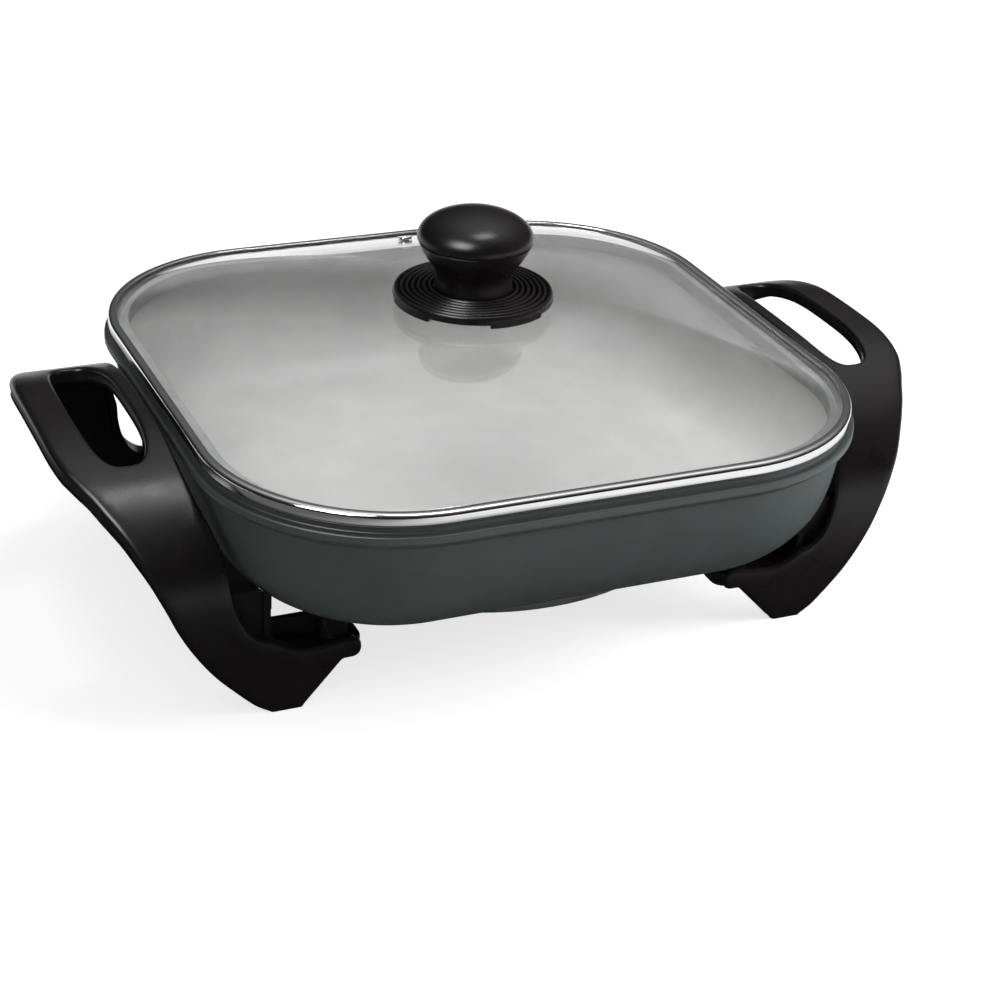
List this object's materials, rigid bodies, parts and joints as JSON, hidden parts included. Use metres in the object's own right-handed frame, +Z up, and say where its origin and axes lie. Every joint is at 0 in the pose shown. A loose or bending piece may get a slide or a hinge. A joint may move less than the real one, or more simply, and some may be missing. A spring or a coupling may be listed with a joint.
{
  "type": "electric skillet",
  "caption": "Square electric skillet with arched side handles that also form its legs, a plug-in heater inlet under one handle and a lift-off domed glass lid with a knob.",
  "frame": {"origin": "on the surface that the skillet stands on, under the middle of the pan", "axes": "+X from the middle towards the handle over the heater inlet, +Y towards the back, where the lid's steam vent is, +Z up"},
  "size_m": [0.4128, 0.3048, 0.1778],
  "materials": {
    "pan_coating": "satin dark grey-green coating on cast aluminium",
    "cast_aluminium": "bare as cast",
    "handle_plastic": "black-brown moulded phenolic, low gloss",
    "lid_glass": "clear tempered glass",
    "lid_chrome": "polished",
    "guard_steel": "plated sheet",
    "plated_steel": "bright zinc plate",
    "element_sheath": "dull annealed sheath",
    "brass": "turned",
    "ceramic": null,
    "silicone": "matte heat-proof silicone"
  },
  "bodies": {
    "base": {"pan_body": "pan_coating", "heater_ring": "cast_aluminium", "heating_element": "element_sheath", "terminal_pin_front": "plated_steel", "terminal_pin_back": "plated_steel", "terminal_bush_front": "ceramic", "terminal_bush_back": "ceramic", "probe_guard": "guard_steel", "probe_guard_screw_front": "plated_steel", "probe_guard_screw_back": "plated_steel", "left_handle_leg": "handle_plastic", "left_handle_screw_front": "plated_steel", "left_handle_screw_back": "plated_steel", "left_handle_washer_front": "plated_steel", "left_handle_washer_back": "plated_steel", "right_handle_leg": "handle_plastic", "right_handle_screw_front": "plated_steel", "right_handle_screw_back": "plated_steel", "right_handle_washer_front": "plated_steel", "right_handle_washer_back": "plated_steel"},
    "lid": {"lid_glass": "lid_glass", "lid_rim": "lid_chrome", "vent_grommet": "lid_chrome", "vent_washer": "silicone", "knob": "handle_plastic", "knob_insert": "brass", "knob_base_disc": "handle_plastic", "knob_seal_upper": "silicone", "knob_seal_lower": "silicone", "knob_washer": "plated_steel", "knob_screw": "plated_steel"}
  },
  "joints": [
    {"name": "lid_lift", "type": "slide", "parent": "base", "child": "lid", "axis": [0, 0, 1], "range_m": [0, 0.12]}
  ]
}
